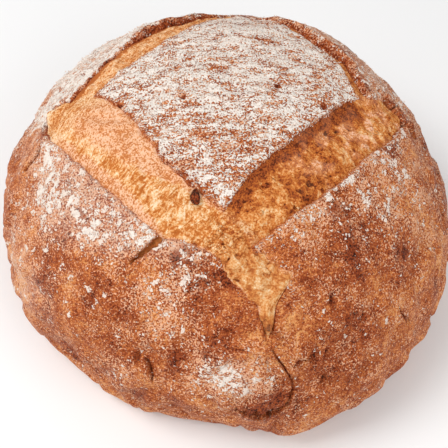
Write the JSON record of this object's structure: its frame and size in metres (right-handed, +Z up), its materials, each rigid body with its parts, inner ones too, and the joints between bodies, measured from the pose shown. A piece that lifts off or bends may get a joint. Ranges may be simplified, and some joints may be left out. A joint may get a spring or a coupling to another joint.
{
  "type": "white sourdough loaf",
  "caption": "Round hearth-baked sourdough loaf with a floured square crown between burst crossing cuts, torn golden crumb and a browned crust, flat underneath.",
  "frame": {"origin": "middle of the flat underside that the loaf rests on", "axes": "+Z up out of the crown, -Y towards the side that faces the viewer, +X to the viewer's right"},
  "size_m": [0.2285, 0.2302, 0.1218],
  "materials": {
    "crust": "dry baked crust, matte, dusted with flour",
    "crumb": "torn bread crumb, matte and fibrous, toasted at its edges",
    "flour": "dry white flour, matte and grainy"
  },
  "bodies": {
    "root": {"loaf": "crust"}
  },
  "joints": []
}
